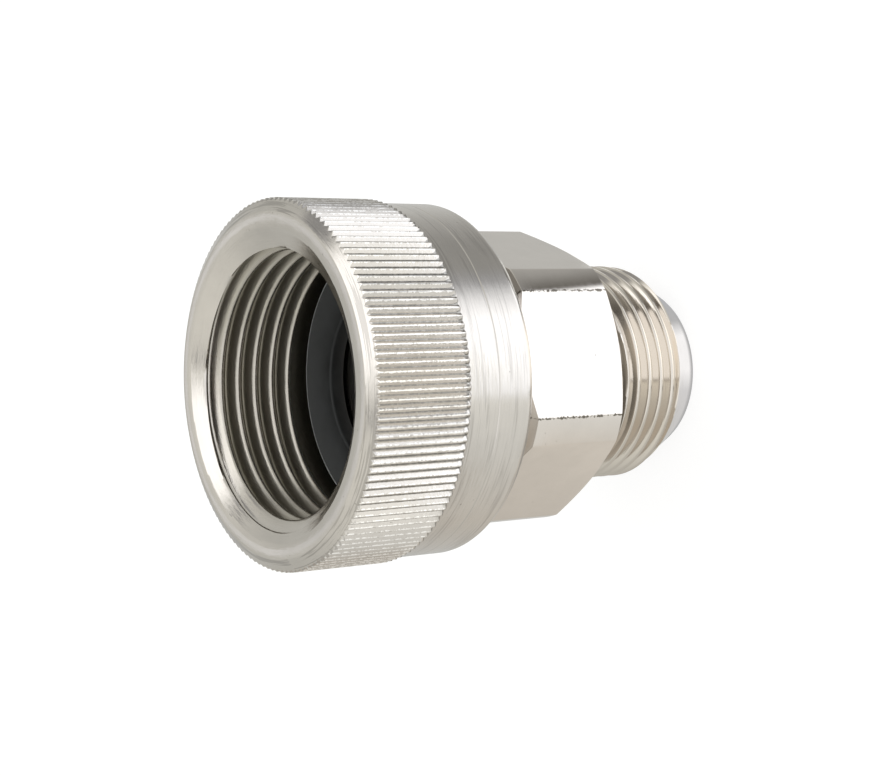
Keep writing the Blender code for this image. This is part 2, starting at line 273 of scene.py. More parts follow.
class CouplingStudio(bpy.types.PropertyGroup):
    """Camera and light of the studio."""

    camera_azimuth: turn("Camera Azimuth", "Direction of the camera", -97.764)
    camera_reach: length("Camera Reach", "Camera from the axis", 186.88 * MM)
    camera_height: length("Camera Height", "Camera over the floor", 167.26 * MM)
    camera_heading: turn("Camera Heading", "Where the camera looks", 82.585)
    camera_dip: turn("Camera Dip", "How far down the camera looks", 35.854)
    camera_roll: turn("Camera Roll", "Roll of the camera", 92.705)
    lens: amount("Lens", "Focal length on a 36 mm sensor", 80.61, 500.0)
    world: amount("World", "Strength of the surrounding light", 1.0)


def soft_min(first, second, round_off):
    """The lower of two heights, with the corner between them rounded off."""
    return 0.5 * (first + second - np.sqrt((first - second) ** 2 + round_off ** 2))


def soft_max(first, second, round_off):
    """The higher of two heights, with the corner between them rounded off."""
    return 0.5 * (first + second + np.sqrt((first - second) ** 2 + round_off ** 2))


def thread_depth(share, pitch):
    """Depth below the crest of a 55 degree pipe thread with round crests and roots.

    share runs from 0 at the middle of the root to 1 at the next root. The flank is
    a straight line through half depth at a quarter pitch; within 0.1218 pitch of a
    crest or root the circle of 0.1373 pitch that touches both flanks takes over.
    """
    away = np.abs((share + 0.5) % 1.0 - 0.5)
    reach = ROUND * math.cos(HALF_ANGLE)
    depth = FULL_DEPTH / 2 + (0.25 - away) / math.tan(HALF_ANGLE)
    crest = ROUND - np.sqrt(np.maximum(ROUND ** 2 - (0.5 - away) ** 2, 0.0))
    root = FULL_DEPTH - ROUND + np.sqrt(np.maximum(ROUND ** 2 - away ** 2, 0.0))
    depth = np.where(away > 0.5 - reach, crest, depth)
    depth = np.where(away < reach, root, depth)
    return depth * pitch


def helical_heights(low, high, pitch, angles, per_pitch):
    """Grid heights that climb one pitch a turn, held between low and high.

    Row j at azimuth a stands at low - pitch + (j / per_pitch + a / full turn) times
    pitch, so each row follows the helix; past either end it stays on that end.
    """
    turns = math.ceil((high - low) / pitch) + 2
    rows = np.arange(turns * per_pitch) / per_pitch
    heights = low - pitch + pitch * (rows[:, None] + angles[None, :] / TAU)
    return np.clip(heights, low, high)


def level_rows(points, angles):
    """Turned profile points as grid rows: one radius and one height for all azimuths."""
    points = np.asarray(points, dtype=float)
    radii = np.repeat(points[:, :1], len(angles), axis=1)
    heights = np.repeat(points[:, 1:2], len(angles), axis=1)
    return radii, heights


class Skin:
    """Vertices and faces of one closed surface, gathered from grids of points."""

    def __init__(self):
        self.points = []
        self.quads = []
        self.triangles = []
        self.total = 0

    def grid(self, radii, heights, angles, shift=0):
        """Add rows of points round the axis; shift rows join a full turn on."""
        rows, count = radii.shape
        across = np.broadcast_to(angles[None, :], radii.shape)
        place = np.stack([radii * np.cos(across), radii * np.sin(across), heights], axis=-1)
        index = self.total + np.arange(rows * count).reshape(rows, count)
        wrap = index[np.minimum(np.arange(rows) + shift, rows - 1), 0]
        wide = np.concatenate([index, wrap[:, None]], axis=1)
        self.points.append(place.reshape(-1, 3))
        self.quads.append(self.band(wide[:-1], wide[1:]))
        self.total += rows * count
        return index

    @staticmethod
    def band(lower, upper):
        """Quads between rows of point numbers."""
        corners = [lower[:, :-1], lower[:, 1:], upper[:, 1:], upper[:, :-1]]
        return np.stack(corners, axis=-1).reshape(-1, 4)

    def join(self, first, second):
        """Quads between two rings with the same count of points."""
        lower = np.append(first, first[0])[None, :]
        upper = np.append(second, second[0])[None, :]
        self.quads.append(self.band(lower, upper))

    def join_double(self, coarse, fine):
        """Triangles between a ring and one with twice as many points."""
        after = np.roll(coarse, -1)
        even, odd = fine[0::2], fine[1::2]
        following = np.roll(even, -1)
        self.triangles.append(np.stack([coarse, even, odd], axis=-1))
        self.triangles.append(np.stack([coarse, odd, after], axis=-1))
        self.triangles.append(np.stack([after, odd, following], axis=-1))

    def make(self, name, sharp=30.0):
        """Build the object, weld repeated points and turn all faces outward."""
        points = np.concatenate(self.points)
        faces = np.concatenate(self.quads).tolist()
        if self.triangles:
            faces += np.concatenate(self.triangles).tolist()
        mesh = bpy.data.meshes.new(name)
        mesh.from_pydata(points, [], faces)
        bm = bmesh.new()
        bm.from_mesh(mesh)
        bmesh.ops.remove_doubles(bm, verts=bm.verts, dist=WELD)
        bmesh.ops.dissolve_degenerate(bm, edges=bm.edges, dist=SLIVER)
        bmesh.ops.recalc_face_normals(bm, faces=bm.faces)
        bm.to_mesh(mesh)
        bm.free()
        mesh.shade_smooth()
        mesh.set_sharp_from_angle(angle=math.radians(sharp))
        obj = bpy.data.objects.new(name, mesh)
        bpy.context.scene.collection.objects.link(obj)
        return obj


def knurl_angles(sizes):
    """Six azimuths a tooth: two on the tip, two in the valley, one on each flank."""
    share = np.array([-TIP_SHARE, TIP_SHARE, 0.25, 0.5 - TIP_SHARE, 0.5 + TIP_SHARE, 0.75])
    every = share[None, :] + np.arange(sizes.teeth)[:, None]
    return every.ravel() / sizes.teeth * TAU + sizes.knurl_turn


def knurl_heights(sizes, angles, count):
    """Tooth height over the land in count rows, uneven as rolled teeth are.

    With x the share of a tooth from its tip, the height falls by the flank's slope
    times |x| past the flat tip, held above the valley, all times the tip's level.
    Random bumps, each a mean in which it counts twice and its neighbours once,
    raise or lower each column along its length, and one more each whole tooth.
    """
    share = (angles - sizes.knurl_turn) / TAU * sizes.teeth
    away = np.abs(share - np.round(share))
    level = 1.0 - FLANK_SLOPE * (away - TIP_SHARE)
    level = np.clip(level, VALLEY_LEVEL, 1.0) * TIP_LEVEL
    rng = np.random.default_rng(5)
    bumps = rng.normal(0.0, 1.0, (count + 2, len(angles)))
    bumps = (bumps[:-2] + 2 * bumps[1:-1] + bumps[2:]) / 4
    whole = rng.normal(0.0, 0.4, sizes.teeth)
    bumps = bumps + np.repeat(whole, TOOTH_COLUMNS)[None, :]
    heights = sizes.knurl_height * level[None, :] + sizes.knurl_wear * bumps
    return np.clip(heights, 0.0, sizes.knurl_height)


def nut_outer_rows(sizes, angles):
    """Outside of the nut, from the mouth down.

    The mouth chamfer is a cone from the face's edge to the teeth, and ends where it
    meets them, so each tooth starts with its own point.
    """
    top = NUT_HIGH[2]
    land = sizes.land_d / 2
    face = sizes.face_d / 2
    teeth = knurl_heights(sizes, angles, KNURL_ROWS)
    first = land + teeth[0]
    slope = math.tan(sizes.chamfer)
    radii, heights = [], []

    def row(radius, drop):
        """One row of points, drop below the mouth."""
        radii.append(np.broadcast_to(radius, angles.shape).astype(float))
        heights.append(np.broadcast_to(top - drop, angles.shape).astype(float))

    row(face - 0.06 * MM, 0.0)
    row(face - 0.02 * MM, 0.004 * MM)
    row(face + 0.02 * MM, 0.018 * MM)
    for part in (0.2, 0.5, 0.8, 0.96):
        radius = face + (first - face) * part
        row(radius, (radius - face) * slope)
    row(first - 0.004 * MM, (first - face) * slope + 0.004 * MM)
    start = (first - face) * slope + 0.03 * MM
    for place in range(KNURL_ROWS):
        along = place / (KNURL_ROWS - 1)
        row(land + teeth[place], start + (sizes.knurl_depth - start) * along)
    row(land + teeth[-1] * 0.55, sizes.knurl_depth + 0.16 * MM)
    row(land, sizes.knurl_depth + 0.3 * MM)
    bottom = NUT_HIGH[2] - NUT_LOW[2]
    row(land, sizes.knurl_depth + 0.36 * MM)
    for past, inset in LINE_PROFILE:
        row(land - inset * MM, sizes.line + past * MM)
    for left, inset in EDGE_PROFILE:
        row(land - inset * MM, bottom - left * MM)
    return np.array(radii), np.array(heights)


def make_nut(sizes):
    """Knurled nut as one closed skin: fine outside, threaded inside."""
    top, low = NUT_HIGH[2], NUT_LOW[2]
    skin = Skin()
    outer = knurl_angles(sizes)
    inner = outer[0::2]
    outside = skin.grid(*nut_outer_rows(sizes, outer), outer)

    bore = sizes.bore_d / 2
    relief = sizes.relief_d / 2
    groove = sizes.groove_d / 2
    foot = top - sizes.thread_depth
    middle = low + sizes.back_wall / 2
    half = sizes.groove_w / 2
    wall = low + sizes.back_wall
    edge = 0.08 * MM
    turned = [
        (bore + edge, low),
        (bore, low + edge),
        (bore, middle - half),
        (groove, middle - half),
        (groove, middle + half),
        (bore, middle + half),
        (bore, wall - edge),
        (bore + edge, wall),
        (relief - 0.3 * MM, wall),
        (relief, wall + 0.3 * MM),
        (relief, foot - 0.25 * MM),
        (relief - 0.1 * MM, foot - 0.06 * MM),
        (relief - 0.25 * MM, foot),
    ]
    back = skin.grid(*level_rows(turned, inner), inner)

    heights = helical_heights(foot, top, sizes.pitch, inner, NUT_ROWS)
    climb = (heights - top) / sizes.pitch - (inner[None, :] - sizes.phase) / TAU
    crest = sizes.thread_d / 2 - FULL_DEPTH * sizes.pitch
    cut = crest + thread_depth(climb, sizes.pitch)
    cone = sizes.sink_d / 2 - (top - heights) * SINK_SLOPE
    radii = soft_max(cut, cone, RUN_OUT)
    radii = np.where(heights >= top - 1e-9, sizes.sink_d / 2, radii)
    thread = skin.grid(radii, heights, inner, shift=NUT_ROWS)

    skin.join(back[-1], thread[0])
    skin.join_double(thread[-1], outside[0])
    skin.join_double(back[0], outside[-1])
    return skin.make("nut_surface", sharp=38.0)


def hexagon_columns():
    """Azimuths round the tail piece, gathered where a flat meets a turned corner."""
    across = np.linspace(0.0, 22.0, 10)
    near = np.array([23.0, 23.6, 24.0, 24.25, 24.42, 24.6, 24.85, 25.3, 26.0])
    corner = np.linspace(27.0, 30.0, 3)
    half = np.concatenate([across, near, corner])
    sector = np.concatenate([-half[:0:-1], half[:-1]])
    return np.radians(np.concatenate([sector + 60.0 * k for k in range(6)]) + 30.0)


def hexagon_radius(sizes, angles):
    """Half the flats over the cosine from the flat's middle, held to the corners."""
    away = (angles - math.radians(30.0) + TAU / 12) % (TAU / 6) - TAU / 12
    flat = sizes.flats / 2 / np.cos(away)
    return soft_min(flat, sizes.corner_d / 2, 0.02 * MM)


def make_tail(sizes):
    """Tail piece as one closed skin: nose, thread, neck, hexagon, spigot, waterway."""
    skin = Skin()
    angles = hexagon_columns()
    crest = sizes.thread_d / 2
    nose_top = sizes.nose
    thread_low = nose_top + sizes.lead
    thread_high = thread_low + sizes.thread
    neck = sizes.undercut_d / 2
    hex_low = thread_high + sizes.undercut
    hex_high = hex_low + sizes.hexagon
    shoulder_high = hex_high + sizes.shoulder
    low, high = 3.6 * MM, thread_high + 1.0 * MM
    tip, nose = sizes.tip_d / 2, sizes.nose_d / 2

    def taper(height):
        """Radius of the turned blank: cone, lead chamfer, thread crest, neck."""
        heights = [0.0, nose_top, thread_low, thread_high, thread_high + 0.66 * MM, high + MM]
        return np.interp(height, heights, [tip, nose, crest, crest, neck, neck])

    way = sizes.waterway_d / 2
    start = [
        (way + 0.2 * MM, 0.0),
        (tip - 0.12 * MM, 0.0),
        (tip - 0.03 * MM, 0.03 * MM),
        (tip + 0.03 * MM, 0.14 * MM),
        *((taper(height), height) for height in (0.5 * MM, 1.6 * MM, 2.8 * MM)),
    ]
    first = skin.grid(*level_rows(start, angles), angles)

    heights = helical_heights(low, high, sizes.pitch, angles, TAIL_ROWS)
    climb = heights / sizes.pitch - (angles[None, :] - sizes.phase) / TAU
    cut = crest - thread_depth(climb, sizes.pitch)
    radii = soft_min(cut, taper(heights), RUN_OUT)
    radii = np.where((heights <= low) | (heights >= high), taper(heights), radii)
    thread = skin.grid(radii, heights, angles, shift=TAIL_ROWS)
    skin.join(first[-1], thread[0])

    flat = sizes.flats / 2
    hexagon = hexagon_radius(sizes, angles)
    rise = math.tan(math.radians(30.0))
    rows = []

    def row(radius, height):
        """One row of points at a height."""
        rows.append((np.broadcast_to(radius, angles.shape) + 0.0,
                     np.broadcast_to(height, angles.shape) + 0.0))

    row(neck, hex_low - 0.25 * MM)
    row(neck + 0.08 * MM, hex_low - 0.07 * MM)
    row(neck + 0.25 * MM, hex_low)
    row(flat - 0.12 * MM, hex_low)
    row(flat - 0.02 * MM, hex_low + 0.012 * MM)
    reach = hexagon - flat
    chamfer = reach * rise
    parts = (0.12, 0.5, 0.94)
    for part in parts:
        radius = flat + reach * part
        row(radius, hex_low + (radius - flat) * rise)
    row(hexagon, hex_low + chamfer + 0.03 * MM)
    row(hexagon, hex_low + chamfer + 0.12 * MM)
    for part in (0.25, 0.5, 0.75):
        row(hexagon, hex_low + 1.1 * MM + (sizes.hexagon - 2.2 * MM) * part)
    row(hexagon, hex_high - chamfer - 0.12 * MM)
    row(hexagon, hex_high - chamfer - 0.03 * MM)
    for part in reversed(parts):
        radius = flat + reach * part
        row(radius, hex_high - (radius - flat) * rise)
    row(flat - 0.02 * MM, hex_high - 0.012 * MM)
    row(flat - 0.12 * MM, hex_high)
    shoulder = sizes.shoulder_d / 2
    spigot = sizes.spigot_d / 2
    groove = sizes.groove_d / 2
    middle = (RING_LOW[2] + RING_HIGH[2]) / 2
    half = sizes.groove_w / 2
    top = TAIL_TOP
    turned = [
        (shoulder, hex_high),
        (shoulder, shoulder_high - 0.1 * MM),
        (shoulder - 0.1 * MM, shoulder_high),
        (spigot, shoulder_high),
        (spigot, middle - half),
        (groove, middle - half),
        (groove, middle + half),
        (spigot, middle + half),
        (spigot, top - 0.4 * MM),
        (spigot - 0.4 * MM, top),
        (way + 0.2 * MM, top),
        (way, top - 0.2 * MM),
        (way, top * 0.5),
        (way, 0.2 * MM),
    ]
    for radius, height in turned:
        row(radius, height)
    upper = skin.grid(np.array([r for r, _ in rows]), np.array([h for _, h in rows]), angles)
    skin.join(thread[-1], upper[0])
    skin.join(upper[-1], first[0])
    return skin.make("tail_surface", sharp=32.0)


def make_washer(outer, inner, low, high):
    """Flat washer: a rectangle with round corners, carried round the axis."""
    middle_r = (outer + inner) / 2
    middle_z = (low + high) / 2
    corner = 0.35 * MM
    bend = np.linspace(0.0, TAU, 33)[:-1] + TAU / 64
    side = np.sign(np.cos(bend)) * ((outer - inner) / 2 - corner)
    rise = np.sign(np.sin(bend)) * ((high - low) / 2 - corner)
    radii = middle_r + side + corner * np.cos(bend)
    heights = middle_z + rise + corner * np.sin(bend)
    flat = 0.06 * MM
    radii = np.insert(radii, 8, [outer - corner - flat, inner + corner + flat])
    heights = np.insert(heights, 8, [high, high])
    angles = np.arange(180) / 180 * TAU
    skin = Skin()
    loop = skin.grid(*level_rows(np.stack([radii, heights], axis=-1), angles), angles)
    skin.join(loop[-1], loop[0])
    return skin.make("washer_surface", sharp=60.0)


def make_ring(radius, wire, height, opening):
    """Open wire ring: a circle carried round the axis, with two domed ends."""
    sides, steps = 24, 160
    sweep = TAU - opening
    along = np.linspace(0.0, sweep, steps)
    cap = np.array([0.0, 0.35, 0.7, 0.93])
    dome = np.sqrt(1 - (1 - cap) ** 2)
    size = np.concatenate([dome, np.ones(steps), dome[::-1]])
    past = (1 - cap) * (wire / 2 / radius) * 0.6
    place = np.concatenate([-past, along, sweep + past[::-1]])
    around = np.arange(sides) / sides * TAU
    distance = radius + wire / 2 * size[None, :] * np.cos(around)[:, None]
    rise = height + wire / 2 * size[None, :] * np.sin(around)[:, None]
    across = np.broadcast_to(place[None, :], distance.shape)
    points = np.stack([distance * np.cos(across), distance * np.sin(across), rise], axis=-1)
    index = np.arange(sides * len(place)).reshape(sides, len(place))
    wide = np.concatenate([index, index[:1]], axis=0)
    skin = Skin()
    skin.points.append(points.reshape(-1, 3))
    skin.quads.append(Skin.band(wide[:-1], wide[1:]))
    return skin.make("ring_surface", sharp=60.0)


class Tree:
    """A shader node tree with short ways to make and link its nodes."""

    def __init__(self, tree):
        self.nodes = tree.nodes
        self.links = tree.links

    def feed(self, socket, value):
        """Link a socket to an input, or write a number, a vector or a colour there."""
        if isinstance(value, bpy.types.NodeSocket):
            self.links.new(value, socket)
        elif socket.type == "RGBA":
            socket.default_value = (*value, 1.0)
        else:
            socket.default_value = value

    def add(self, kind, inputs=(), **settings):
        """A new node with its settings made and its named or numbered inputs fed."""
        node = self.nodes.new(kind)
        for name, value in settings.items():
            setattr(node, name, value)
        for place, value in inputs:
            self.feed(node.inputs[place], value)
        return node

    def math(self, operation, *values):
        """Result of a Math node."""
        return self.add("ShaderNodeMath", enumerate(values), operation=operation).outputs[0]

    def remap(self, value, low, high, bottom=0.0, top=1.0, kind="LINEAR"):
        """bottom where the value is low, top where it is high, held beyond both."""
        ends = [("Value", value), ("From Min", low), ("From Max", high),
                ("To Min", bottom), ("To Max", top)]
        return self.add("ShaderNodeMapRange", ends, interpolation_type=kind).outputs[0]

    def step(self, value, low, high):
        """0 below low, 1 above high, with a soft change between."""
        return self.remap(value, low, high, kind="SMOOTHSTEP")

    def mix(self, factor, first, second, kind="RGBA"):
        """Blend of two colours, or of two numbers if kind is FLOAT."""
        node = self.add("ShaderNodeMix", data_type=kind)
        for name, value in (("Factor", factor), ("A", first), ("B", second)):
            self.feed(node.inputs[name], value)
        return node.outputs["Result"]

    def place(self):
        """Object coordinates."""
        return self.add("ShaderNodeTexCoord").outputs["Object"]

    def noise(self, vector, scale, detail, roughness):
        """Value of a Noise Texture."""
        inputs = [("Vector", vector), ("Scale", scale), ("Detail", detail),
                  ("Roughness", roughness)]
        return self.add("ShaderNodeTexNoise", inputs).outputs[0]

    def attribute(self, name):
        """A point attribute of the mesh."""
        return self.add("ShaderNodeAttribute", attribute_name=name).outputs["Fac"]

    def bump(self, height, distance):
        """Normals of a relief."""
        inputs = [("Height", height), ("Distance", distance)]
        return self.add("ShaderNodeBump", inputs).outputs["Normal"]

    def group(self, name, **inputs):
        """Outputs of a node group whose inputs are fed."""
        node = self.add("ShaderNodeGroup", node_tree=bpy.data.node_groups[name])
        for label, value in inputs.items():
            self.feed(node.inputs[label], value)
        return node.outputs

    def polar(self):
        """Radius, azimuth and height of the shaded place."""
        split = self.add("ShaderNodeSeparateXYZ", [(0, self.place())])
        x, y, z = split.outputs
        square = self.math("ADD", self.math("MULTIPLY", x, x), self.math("MULTIPLY", y, y))
        return self.math("SQRT", square), self.math("ARCTAN2", y, x), z

    def round_places(self, across, around):
        """A vector that follows the part round its axis, with two scales."""
        radius, azimuth, height = self.polar()
        scaled = [
            self.math("MULTIPLY", radius, across),
            self.math("MULTIPLY", height, across),
            self.math("MULTIPLY", azimuth, around),
        ]
        return self.add("ShaderNodeCombineXYZ", enumerate(scaled)).outputs[0]


def new_group(name, inputs, outputs):
    """An empty node group with named sockets: its tree, its inputs and its outputs."""
    group = bpy.data.node_groups.new(name, "ShaderNodeTree")
    for label, kind, default in inputs:
        socket = group.interface.new_socket(label, in_out="INPUT", socket_type=kind)
        socket.default_value = default
    for label, kind in outputs:
        group.interface.new_socket(label, in_out="OUTPUT", socket_type=kind)
    tree = Tree(group)
    return tree, tree.add("NodeGroupInput").outputs, tree.add("NodeGroupOutput").inputs


def turned_group():
    """Tool marks of a lathe: fine rings round the axis, and slow ripples along them."""
    tree, start, end = new_group(
        "Turned Marks",
        [("Ripple", FLOAT, 0.0)],
        [("Height", FLOAT), ("Mask", FLOAT), ("Streaks", FLOAT)],
    )
    rings = tree.noise(tree.round_places(9000.0, 0.8), 1.0, 3.0, 0.6)
    waves = tree.noise(tree.round_places(3200.0, 13.0), 1.0, 2.0, 0.5)
    tree.feed(end["Height"], tree.math("MULTIPLY_ADD", waves, start["Ripple"], rings))
    tree.feed(end["Mask"], tree.noise(tree.round_places(2600.0, 3.0), 1.0, 3.0, 0.6))
    fine = tree.noise(tree.round_places(4300.0, 2.3), 1.0, 3.0, 0.62)
    broad = tree.noise(tree.round_places(900.0, 2.0), 1.0, 2.0, 0.5)
    both = tree.math("MULTIPLY_ADD", broad, 0.7, fine)
    tree.feed(end["Streaks"], tree.step(both, 0.86, 1.08))


def pits_group():
    """Sparse dark pits in the plating, where two unlike noises are both high."""
    tree, _, end = new_group("Plating Pits", [], [("Mask", FLOAT)])
    place = tree.place()
    fine = tree.step(tree.noise(place, 3200.0, 1.0, 0.5), 0.74, 0.80)
    wide = tree.step(tree.noise(place, 260.0, 1.0, 0.5), 0.58, 0.66)
    tree.feed(end["Mask"], tree.math("MULTIPLY", fine, wide))


def ragged_group():
    """Eat into a mask with noise, so that its edge comes out ragged."""
    tree, start, end = new_group(
        "Ragged Edge",
        [("Mask", FLOAT, 0.0), ("Amount", FLOAT, 0.0), ("Low", FLOAT, 0.15), ("High", FLOAT, 0.5)],
        [("Mask", FLOAT)],
    )
    grain = tree.step(tree.noise(tree.place(), 2600.0, 3.0, 0.7), 0.38, 0.64)
    left = tree.math("SUBTRACT", start["Mask"], tree.math("MULTIPLY", start["Amount"], grain))
    tree.feed(end["Mask"], tree.step(left, start["Low"], start["High"]))


def tone_group():
    """Slow clouds of lighter and darker material, and their mask."""
    tree, start, end = new_group(
        "Plating Tone",
        [
            ("Light", COLOR, (1.0, 1.0, 1.0, 1.0)),
            ("Dark", COLOR, (0.8, 0.8, 0.8, 1.0)),
            ("Scale", FLOAT, 220.0),
        ],
        [("Color", COLOR), ("Mask", FLOAT)],
    )
    clouds = tree.remap(tree.noise(tree.place(), start["Scale"], 6.0, 0.62), 0.35, 0.7)
    tree.feed(end["Color"], tree.mix(clouds, start["Light"], start["Dark"]))
    tree.feed(end["Mask"], clouds)


def vertex_rule(obj, name, rule):
    """Write a point attribute: a rule of radius, azimuth and height, as whole arrays."""
    mesh = obj.data
    places = np.empty(len(mesh.vertices) * 3, dtype=np.float32)
    mesh.vertices.foreach_get("co", places)
    x, y, z = places.reshape(-1, 3).T
    values = rule(np.hypot(x, y), np.arctan2(y, x), z).astype(np.float32)
    mesh.attributes.new(name, "FLOAT", "POINT").data.foreach_set("value", values)


def new_material(name):
    """A node material, its tree and the inputs of its Principled shader."""
    material = bpy.data.materials.new(name)
    material.use_nodes = True
    tree = Tree(material.node_tree)
    return material, tree, tree.nodes["Principled BSDF"].inputs


def shaded(colour, share):
    """A colour times a share."""
    return tuple(channel * share for channel in colour)


def plated(name, metal, roughness, ripple=0.0, masks=(), brushed=None):
    """Nickel plating: warm grey metal, turned rings, ripples, pits and uneven gloss.

    Each mask names a point attribute, the colour and the roughness where it is 1, how
    ragged its edge is and the value at which it sets in. brushed names the attribute
    that says how strong the tool marks are.
    """
    material, tree, shader = new_material(name)
    clouds = tree.group("Plating Tone", Light=metal, Dark=shaded(metal, CLOUD_SHARE))
    turned = tree.group("Turned Marks", Ripple=ripple)
    colour = tree.mix(tree.group("Plating Pits")["Mask"], clouds["Color"], PIT_SHADE)
    if brushed:
        marks = tree.math("MULTIPLY", tree.attribute(brushed), turned["Streaks"])
        colour = tree.mix(marks, colour, shaded(metal, STREAK_SHARE))
    low, high = roughness * ROUGH_LOW, roughness * ROUGH_HIGH
    rough = tree.remap(turned["Mask"], 0.25, 0.75, low, high)
    for attribute, shade, dull, ragged, low in masks:
        mask = tree.attribute(attribute)
        if ragged:
            ends = {"Low": low, "High": low + MASK_EDGE}
            mask = tree.group("Ragged Edge", Mask=mask, Amount=ragged, **ends)["Mask"]
        colour = tree.mix(mask, colour, shade)
        rough = tree.mix(mask, rough, dull, "FLOAT")
    tree.feed(shader["Metallic"], 1.0)
    tree.feed(shader["Base Color"], colour)
    tree.feed(shader["Roughness"], rough)
    tree.feed(shader["Normal"], tree.bump(turned["Height"], PLATING_RELIEF))
    return material


def rubber(name, colour):
    """Black moulded rubber: faint clouds, dusty gloss, a fine skin and a painted highlight on the
    rim.
    """
    material, tree, shader = new_material(name)
    clouds = tree.group("Plating Tone", Light=colour, Dark=shaded(colour, 1.5), Scale=400.0)
    # painted highlight along the washer's rim
    rim_lit = tree.mix(tree.attribute("rim"), clouds["Color"], RIM_HIGHLIGHT)
    tree.feed(shader["Base Color"], rim_lit)
    tree.feed(shader["Specular IOR Level"], 0.25)
    tree.feed(shader["Roughness"], tree.remap(clouds["Mask"], 0.0, 1.0, 0.42, 0.6))
    tree.feed(shader["Normal"], tree.bump(clouds["Mask"], RUBBER_RELIEF))
    return material


class MESH_OT_coupling_nut(bpy.types.Operator):
    """Build the knurled swivel nut"""

    bl_idname = "mesh.coupling_nut"
    bl_label = "Swivel Nut"
    bl_options = {"REGISTER", "UNDO"}

    def execute(self, context):
        finish = context.scene.coupling_finish
        sizes = context.scene.coupling_nut
        nut = make_nut(sizes)
        foot, top = NUT_LOW[2] + sizes.back_wall, NUT_HIGH[2]
        land = sizes.land_d / 2
        knurl_end = top - sizes.knurl_depth

        def inside(radius, azimuth, height):
            """Painted shade in the bore, duller too: darker toward the roots of the thread, from a
            little below the mouth.
            """
            share = (sizes.thread_d / 2 - radius) / (0.64 * sizes.pitch)
            root_shade = np.clip(1.0 - 0.62 * share, 0.38, 1.0)
            start = np.clip((top - height) / MM - 1.6, 0.0, 1.0)
            where = (radius < sizes.thread_d / 2 + 0.6 * MM) & (height > foot)
            return where * root_shade * start

        def marked(radius, azimuth, height):
            """Strongest on the plain band and on the chamfer; faint on face and knurl."""
            band = (radius > sizes.sink_d / 2) & (height < knurl_end)
            chamfer = (radius > sizes.face_d / 2) & (height > top - 0.9 * MM)
            return np.where(band, BAND_MARKS, np.where(chamfer, CHAMFER_MARKS, FAINT_MARKS))

        def tooth(radius, azimuth, height):
            """0 in the knurl's valleys, 1 on its tips."""
            share = (azimuth - sizes.knurl_turn) / TAU * sizes.teeth
            return 1.0 - 2.0 * np.abs(share - np.round(share))

        def knurled(radius, height):
            """Whether a place is on the teeth, clear of the mouth chamfer."""
            return (radius > land) & (height > knurl_end) & (height < top - 0.8 * MM)

        def tip(radius, azimuth, height):
            """Painted highlight: 1 on the tips of the teeth."""
            return (tooth(radius, azimuth, height) > 0.8) * knurled(radius, height)

        def valley(radius, azimuth, height):
            """Painted shade: 1 in the valleys and across the ends of the teeth beside the plain
            band.
            """
            past = knurl_end - height
            ends = (past > -0.01 * MM) & (past < 0.2 * MM) & (radius > land + 0.02 * MM)
            low = (tooth(radius, azimuth, height) < 0.2) & knurled(radius, height)
            return np.where(ends | low, 1.0, 0.0)

        vertex_rule(nut, "bore", inside)
        vertex_rule(nut, "marked", marked)
        vertex_rule(nut, "tip", tip)
        vertex_rule(nut, "valley", valley)
        masks = (
            # bore: painted shade inside the bore and in the roots of the thread
            ("bore", (0.35, 0.325, 0.26), 0.42, 0.0, 0.0),
            # valley: painted shade in the knurl's valleys and at the ends of its teeth
            ("valley", (0.28, 0.27, 0.25), 0.25, 0.10, 0.72),
            # tip: painted highlight, near white, on the tips of the teeth
            ("tip", (0.97, 0.95, 0.92), 0.10, 0.62, 0.34),
        )
        surface = plated(
            "nickel_nut_surface", finish.nickel, finish.roughness, 4.0, masks, "marked"
        )
        nut.data.materials.append(surface)
        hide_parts("swivel_nut")
        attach(nut, "nut")
        return {"FINISHED"}


class MESH_OT_coupling_tail(bpy.types.Operator):
    """Build the hexagon tail piece"""

    bl_idname = "mesh.coupling_tail"
    bl_label = "Tail Piece"
    bl_options = {"REGISTER", "UNDO"}

    def execute(self, context):
        finish = context.scene.coupling_finish
        sizes = context.scene.coupling_tail
        tail = make_tail(sizes)
        flat_end = math.acos(sizes.flats / sizes.corner_d)
        inset, width = math.radians(0.25), math.radians(0.55)

        def corner_shade(radius, azimuth, height):
            """A narrow bell of painted shade beside each turned corner, strongest on the front
            flat.
            """
            away = np.abs((azimuth + TAU / 12) % (TAU / 6) - TAU / 12)
            near = np.exp(-((TAU / 12 - away - flat_end - inset) / width) ** 2)
            front = np.where(np.abs(azimuth + TAU / 4) < TAU / 12, 1.0, 0.15)
            return near * front * (radius > sizes.flats / 2 + 0.5 * MM)

        thread_high = sizes.nose + sizes.lead + sizes.thread
        hex_low = thread_high + sizes.undercut
        neck_r = sizes.undercut_d / 2

        def neck(radius, azimuth, height):
            """Painted shade where the neck meets the hexagon, clear again by the thread."""
            near = np.clip((height - thread_high) / MM - 0.6, 0.0, 1.0)
            return near * (height < hex_low + 0.01 * MM) * (radius < neck_r + 0.6 * MM)

        def cut(radius, azimuth, height):
            """1 on the outside thread, which gets a darker, warmer colour as painted shade."""
            return (height > sizes.nose) & (height < thread_high) & (radius > neck_r)

        vertex_rule(tail, "corner_shade", corner_shade)
        vertex_rule(tail, "neck", neck)
        vertex_rule(tail, "cut", cut)
        masks = (
            # painted shade: a ragged dark line beside the hexagon's corners
            ("corner_shade", (0.17, 0.155, 0.13), 0.3, 0.9, 0.15),
            # painted shade, near black, on the neck under the hexagon
            ("neck", (0.12, 0.11, 0.09), 0.35, 0.0, 0.0),
            # painted shade: the outside thread darker and warmer than the rest
            ("cut", (0.70, 0.655, 0.595), 0.10, 0.0, 0.0),
        )
        gloss = finish.roughness * 0.6
        surface = plated("nickel_tail_surface", finish.bright, gloss, 0.0, masks)
        tail.data.materials.append(surface)
        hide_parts("tail_piece")
        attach(tail, "tail")
        return {"FINISHED"}


